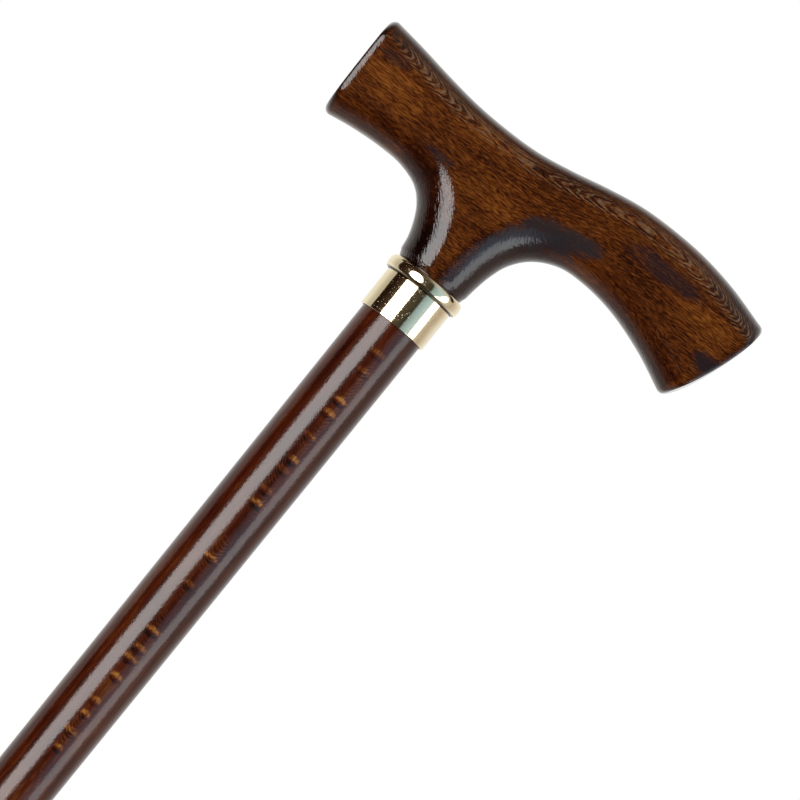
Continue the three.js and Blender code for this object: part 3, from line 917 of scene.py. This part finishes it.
# Places are measured from the collar's lower edge. The grain lifts between two
# places along x, by the third number. Each patch has its centre, half sizes and
# change of tone, each blot its centre, half sizes, strength and colour, and each
# run of thick lacquer its centre, half sizes and rise.
HANDLE_WOOD = {
    "axes": axes_of(HANDLE_GRAIN, (0, *HANDLE_FACING)),
    "layer_axes": axes_of(HANDLE_GRAIN, (HANDLE_LAYER_SLOPE, *HANDLE_FACING)),
    "grain_lift": (2, 44, 6),
    "patch_edge": ((6, 3, 2), 4, 0.65),
    "streaks": ((2.4, 0.7, 0.085), 4, 0.75),
    "bands": ((28, 7, 1.0), 3, 0.6),
    "layer_pitch": 0.28,
    "layer_warp": 2.8,
    "layer_facing": (0.902, 0.935),
    "layer_start": (-57, -45),
    "layer_group": (-0.3, 0.05),
    "tone": 0.425,
    "streak_contrast": 3.7,
    "band_contrast": 0.7,
    "cloud_contrast": 0.5,
    "ring_contrast": 0.055,
    "pale_ring": 0.78,
    "pale_colour": (0.16, 0.093, 0.050),
    "cut_tone": -0.22,
    "end_tone": -0.3,
    "patches": [
        ((-46, -12, 57), (14, 12, 7), 0.26),
        ((50, -12, 57), (20, 12, 9), -0.09),
        ((-46, -12, 44.5), (16, 12, 5), -0.18),
        ((74, -12, 58), (12, 12, 8), 0.12),
        ((79, -11, 68.5), (14, 12, 4), -0.12),
        ((3, -12, 48), (14, 12, 8), 0.08),
        ((42, -8, 77), (36, 14, 6.5), 0.14),
        ((-24, -10, 45.5), (9, 10, 6), -0.25),
    ],
    "blots": [
        ((-51, -12, 64.5), (6, 8, 2), 0.5, DARK_STAIN),
        ((-7.6, -9, 26), (4.6, 10, 9.5), 0.85, BLACK_STAIN),
        ((56, -10, 65.3), (15, 12, 3.6), 0.7, DARK_STAIN),
        # Grey stain along the palm throat, its colour partly a painted bluish-grey reflection
        *[
            ((x, -12, z), (width, 10, height), 0.85, GREY_STAIN_AND_SHEEN)
            for x, z, width, height in THROAT_STAIN_AND_SHEEN
        ],
        ((83, -12, 51), (4.8, 12, 3.5), 0.98, DARK_STAIN),
        ((-21, -12, 49.8), (6, 12, 1.8), 0.6, DARK_STAIN),
    ],
    "runs": [((-8.3, -9, 19.8), (4.6, 8, 1.3), 0.22)],
    "colours": [
        (0.0, (0.0070, 0.0010, 0.0004)),
        (0.2, (0.0180, 0.0028, 0.0006)),
        (0.42, (0.043, 0.0090, 0.0009)),
        (0.65, (0.080, 0.0190, 0.0020)),
        (1.0, (0.175, 0.0600, 0.0110)),
    ],
    "ripple": 0.02,
    "film": 0.045,
    "cut_pores": 0.10,
    "gloss": 0.085,
}

# Pale crescents down the shaft: x, height, half width and change of tone
SHAFT_CRESCENTS = [
    (2.4, -10, 3.2, 0.30), (2.4, -17, 2.6, 0.26), (2.3, -28.6, 2.6, 0.52),
    (1.8, -33.8, 3.0, 0.40), (1.6, -43, 3.0, 0.28), (2.5, -52, 2.2, 0.48),
    (1.6, -56.3, 2.6, 0.28), (2.0, -64.4, 2.8, 0.30), (2.1, -69.4, 2.6, 0.50),
    (1.4, -91.4, 2.8, 0.44), (1.6, -102, 2.2, 0.36), (1.8, -120.2, 3.3, 0.52),
    (1.8, -127, 2.9, 0.42), (1.4, -131.2, 3.1, 0.42), (1.8, -138.2, 2.3, 0.42),
    (1.6, -148, 2.3, 0.32), (1.7, -153.2, 1.9, 0.42), (1.4, -160.2, 3.4, 0.34),
    (1.7, -166.4, 1.8, 0.44),
]
CRESCENT_Y = -10.6
CRESCENT_DEPTH = 4

# A crescent is a pale spot less the one below it, which is almost as strong: how far
# down it lies, its share of the width, its half height and its share of the tone
CRESCENT_SPOTS = ((0, 1, 1.35, 1), (1.25, 0.85, 1.1, -0.85))
SHAFT_WOOD = {
    "axes": axes_of(SHAFT_GRAIN, (*SHAFT_FACING, 0)),
    "layer_axes": axes_of(SHAFT_GRAIN, (*SHAFT_FACING, SHAFT_LAYER_SLOPE)),
    "grain_lift": (0, 10, 0),
    "patch_edge": ((1.8, 1.2, 1.2), 4, 0.65),
    "streaks": ((6, 0.8, 0.5), 4, 0.75),
    "bands": ((30, 3, 1.4), 3, 0.6),
    "layer_pitch": 0.2,
    "layer_warp": 3,
    "layer_facing": (0.93, 0.99),
    "layer_start": (-40, -30),
    "layer_group": (-0.05, 0.15),
    "tone": 0.42,
    "streak_contrast": 0.9,
    "band_contrast": 0.8,
    "cloud_contrast": 0.4,
    "ring_contrast": 0.14,
    "pale_ring": 0.14,
    "pale_colour": (0.20, 0.10, 0.035),
    "cut_tone": -0.3,
    "end_tone": -0.3,
    "patches": [
        ((x, CRESCENT_Y, z - drop), (width * narrowing, CRESCENT_DEPTH, height), change * share)
        for x, z, width, change in SHAFT_CRESCENTS
        for drop, narrowing, height, share in CRESCENT_SPOTS
    ],
    "blots": [],
    "runs": [],
    "colours": [
        (0.0, (0.005, 0.0007, 0.0003)),
        (0.3, (0.026, 0.0028, 0.0005)),
        (0.5, (0.047, 0.0068, 0.0008)),
        (0.75, (0.085, 0.0240, 0.0040)),
        (1.0, (0.230, 0.0900, 0.0180)),
    ],
    "ripple": 0.04,
    "film": 0.05,
    "cut_pores": 0.0,
    "gloss": 0.17,
}

handle_wood = wood_material("stained_handle_wood", HANDLE_WOOD)
shaft_wood = wood_material("stained_shaft_wood", SHAFT_WOOD)
brass = brass_material()
rubber = rubber_material()
steel = steel_material()

make_piece("handle_wood", handle_mesh(), "stick", handle_wood, "handle")
make_piece("collar_brass", collar_mesh(), "stick", brass, "collar")
make_piece("shaft_wood", shaft_mesh(), "stick", shaft_wood, "shaft")
make_piece("rubber_ferrule", ferrule_mesh(), "tip", rubber, "ferrule")
for node in ("joint_screw", "ferrule_washer"):
    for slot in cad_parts[node].material_slots:
        slot.material = steel


# Camera

CAMERA_DISTANCE = 5000
SENSOR_WIDTH = 36
FRAME_WIDTH = 247.54
AIM = at_head(16.45, 0, -16.1)
STICK_LEAN = math.radians(38.89)
CAMERA_RISE = math.radians(4.2)

forward = Vector((0, math.cos(CAMERA_RISE), math.sin(CAMERA_RISE)))
upright = Vector((0, -math.sin(CAMERA_RISE), math.cos(CAMERA_RISE)))
sideways = Vector((1, 0, 0))
camera_right = math.sin(STICK_LEAN) * upright + math.cos(STICK_LEAN) * sideways
camera_up = math.cos(STICK_LEAN) * upright - math.sin(STICK_LEAN) * sideways
camera_data = bpy.data.cameras.new("camera")
camera_data.sensor_width = SENSOR_WIDTH
camera_data.lens = SENSOR_WIDTH * CAMERA_DISTANCE / FRAME_WIDTH
camera = bpy.data.objects.new("camera", camera_data)
camera_turn = Matrix((camera_right, camera_up, -forward)).transposed()
camera_place = Vector(AIM) * MM - forward * CAMERA_DISTANCE * MM
camera.matrix_world = Matrix.Translation(camera_place) @ camera_turn.to_4x4()
bpy.context.scene.collection.objects.link(camera)
bpy.context.scene.camera = camera


# Lights and surroundings

LIGHT_AIM = Vector(at_head(0, 0, 10)) * MM


def add_softbox(name, azimuths, heights, roll, distance, radiance, colour):
    """A soft oval panel that spans azimuths, in degrees from the camera's side, and heights."""
    start, end = (math.radians(a) for a in azimuths)
    middle, half = (start + end) / 2, (end - start) / 2
    low, high = (math.tan(math.radians(h)) * distance for h in heights)
    data = bpy.data.lights.new(name, "AREA")
    data.shape = "ELLIPSE"
    data.size = 2 * distance * math.tan(half)
    data.size_y = high - low
    oval_area = math.pi / 4 * data.size * data.size_y
    data.energy = radiance * math.pi * oval_area
    data.color = colour
    light = bpy.data.objects.new(name, data)
    side = Vector((math.sin(middle), -math.cos(middle), 0))
    light.location = LIGHT_AIM + side * distance + Vector((0, 0, (low + high) / 2))
    rolled = Quaternion((0, 0, 1), math.radians(roll))
    light.rotation_euler = (side.to_track_quat("Z", "Y") @ rolled).to_euler()
    light.visible_camera = False
    bpy.context.scene.collection.objects.link(light)


# Distances in metres
SOFTBOXES = [
    {"name": "key_softbox", "azimuths": (-50.8, -9.3), "heights": (-27, 26), "roll": 0,
     "distance": 1.2, "radiance": 6.5, "colour": (1.0, 0.985, 0.97)},
    {"name": "side_softbox", "azimuths": (49.5, 75), "heights": (-42, 26), "roll": -22,
     "distance": 0.9, "radiance": 2.3, "colour": (0.98, 1.0, 1.0)},
]
for softbox in SOFTBOXES:
    add_softbox(**softbox)

# Surroundings level with the stick, in degrees round from the camera's side to the right
AROUND = [
    (-180, (1.0, 1.0, 0.97)), (-130, (0.95, 0.95, 0.92)), (-108, (0.62, 0.60, 0.57)),
    (-95.8, (0.60, 0.57, 0.50)), (-94, (0.02, 0.009, 0.004)), (-80, (0.018, 0.008, 0.005)),
    (-62, (0.05, 0.03, 0.02)), (-50, (0.06, 0.04, 0.03)), (5, (0.08, 0.065, 0.045)),
    (21.5, (0.04, 0.038, 0.03)), (26.5, (0.31, 0.43, 0.52)), (36, (0.40, 0.60, 0.78)),
    (48, (0.52, 0.74, 0.95)), (82, (0.65, 0.62, 0.58)), (98, (0.53, 0.46, 0.40)),
    (110, (0.60, 0.53, 0.47)), (126, (0.78, 0.76, 0.76)), (140, (0.95, 0.95, 0.94)),
    (180, (1.0, 1.0, 0.97)),
]

# Overhead, from left, -1, to right, 1, and underneath, from the camera's side to behind
OVERHEAD = [
    (-1, (0.03, 0.015, 0.01)), (-0.5, (0.04, 0.02, 0.012)), (-0.25, (0.13, 0.10, 0.08)),
    (0, (0.19, 0.17, 0.15)), (0.4, (0.65, 0.60, 0.54)), (1, (0.65, 0.62, 0.60)),
]
UNDERNEATH = [
    (-1, (0.015, 0.01, 0.01)), (-0.3, (0.03, 0.024, 0.022)), (0, (0.20, 0.19, 0.18)),
    (0.25, (0.42, 0.41, 0.40)), (1, (0.45, 0.45, 0.44)),
]
OVERHEAD_BEHIND = (0.55, 0.54, 0.52)
BEHIND_START, BEHIND_END = 0.5, 0.75

# Heights over which the level surroundings give way to the others
OVERHEAD_START, OVERHEAD_END = math.radians(25), math.radians(65)
UNDERNEATH_START, UNDERNEATH_END = math.radians(-26), math.radians(-50)

# What the camera itself sees behind the stick
BACKDROP = (1, 1, 1)

world = bpy.data.worlds.new("studio")
bpy.context.scene.world = world
world.use_nodes = True
tree = world.node_tree
rightward, backward, upward = split(tree, coordinates(tree, "Generated"))
azimuth = calc(tree, "ARCTAN2", rightward, calc(tree, "MULTIPLY", backward, -1))
azimuth_share = fit(tree, azimuth, -math.pi, math.pi, smooth=False)
level = ramp(tree, azimuth_share, [((degrees + 180) / 360, colour) for degrees, colour in AROUND])
above, below = (
    ramp(tree, fit(tree, part, -1, 1, smooth=False), [((x + 1) / 2, colour) for x, colour in stops])
    for part, stops in ((rightward, OVERHEAD), (backward, UNDERNEATH))
)
behind = fit(tree, backward, BEHIND_START, BEHIND_END)
above = blend_colour(tree, behind, above, OVERHEAD_BEHIND)
height = calc(tree, "ARCSINE", upward)
overhead_share = fit(tree, height, OVERHEAD_START, OVERHEAD_END, smooth=False)
underneath_share = fit(tree, height, UNDERNEATH_START, UNDERNEATH_END, smooth=False)
around = blend_colour(tree, overhead_share, level, above)
around = blend_colour(tree, underneath_share, around, below)
seen = tree.nodes.new("ShaderNodeLightPath").outputs["Is Camera Ray"]
link(tree, blend_colour(tree, seen, around, BACKDROP), tree.nodes["Background"].inputs["Color"])

# Floor, low enough for the ferrule when it is pulled off the tip
FLOOR_DROP = 55
FLOOR_HALF_WIDTH = 30000
FLOOR_LINES = 13
FLOOR_FIGURE = ((300, 300, 300), 2, 0.5)
FLOOR_COLOURS = [(0.3, (0.78, 0.78, 0.78)), (0.7, (0.82, 0.82, 0.82))]
FLOOR_ROUGHNESS = 0.9
FLOOR_GLOW = 0.3
floor_mesh = bmesh.new()
lines = np.linspace(-FLOOR_HALF_WIDTH, FLOOR_HALF_WIDTH, FLOOR_LINES)
grid_faces(floor_mesh, [[(x, y, -FLOOR_DROP) for x in lines] for y in lines])
floor_data = bpy.data.meshes.new("floor")
floor_mesh.to_mesh(floor_data)
floor_mesh.free()
floor = bpy.data.objects.new("floor", floor_data)
bpy.context.scene.collection.objects.link(floor)
floor_material, floor_tree, floor_shader = new_material("pale_floor")
floor_colour = ramp(floor_tree, noise(floor_tree, *FLOOR_FIGURE), FLOOR_COLOURS)
link_all(floor_tree, floor_shader, {
    "Base Color": floor_colour,
    "Roughness": FLOOR_ROUGHNESS,
    "Emission Color": floor_colour,
    "Emission Strength": FLOOR_GLOW,
})
floor_data.materials.append(floor_material)
floor.visible_glossy = False

bpy.context.scene.view_settings.view_transform = "Standard"
